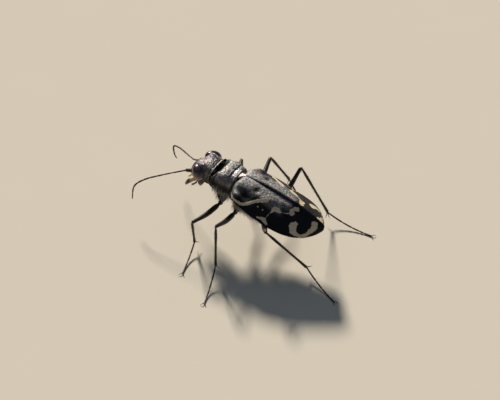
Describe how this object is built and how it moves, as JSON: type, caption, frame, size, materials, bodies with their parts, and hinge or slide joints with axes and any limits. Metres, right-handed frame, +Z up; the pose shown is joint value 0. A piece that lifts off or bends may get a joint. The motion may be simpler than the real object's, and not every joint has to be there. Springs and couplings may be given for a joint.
{
  "type": "tiger beetle",
  "caption": "Still life-size tiger beetle standing high on its legs, with large eyes, sickle jaws and patterned wing cases.",
  "frame": {"origin": "floor level under the middle of the bounding box", "axes": "+Z up, head toward -Y, the beetle's left side toward +X, feet on z = 0"},
  "size_m": [0.0158, 0.0196, 0.0063],
  "materials": {
    "bronze": "dull bronze-black cuticle",
    "wing": "near-black wing case with cream markings",
    "eye": "dark glossy compound eye",
    "ivory": "ivory mouthparts",
    "leg": "black-brown leg with a faint metallic sheen",
    "flank": "dark underside with pale hairs"
  },
  "bodies": {
    "root": {"head": "bronze", "labrum": "ivory", "prothorax": "bronze", "thorax": "flank", "abdomen": "flank", "scutellum": "bronze", "eye_left": "eye", "eye_right": "eye", "mandible_left": "ivory", "mandible_right": "ivory", "palp_maxillary_left": "leg", "palp_maxillary_right": "leg", "palp_labial_left": "leg", "palp_labial_right": "leg", "elytron_left": "wing", "elytron_right": "wing", "antenna_left_scape": "leg", "antenna_left_shaft": "leg", "antenna_left_tip": "leg", "antenna_right_scape": "leg", "antenna_right_shaft": "leg", "antenna_right_tip": "leg", "coxa_front_left": "bronze", "coxa_front_right": "bronze", "coxa_middle_left": "bronze", "coxa_middle_right": "bronze", "coxa_hind_left": "bronze", "coxa_hind_right": "bronze", "femur_front_left": "leg", "femur_front_right": "leg", "femur_middle_left": "leg", "femur_middle_right": "leg", "femur_hind_left": "leg", "femur_hind_right": "leg", "tibia_front_left": "leg", "tibia_front_right": "leg", "tibia_middle_left": "leg", "tibia_middle_right": "leg", "tibia_hind_left": "leg", "tibia_hind_right": "leg", "tarsus_front_left": "leg", "tarsus_front_right": "leg", "tarsus_middle_left": "leg", "tarsus_middle_right": "leg", "tarsus_hind_left": "leg", "tarsus_hind_right": "leg"}
  },
  "joints": []
}
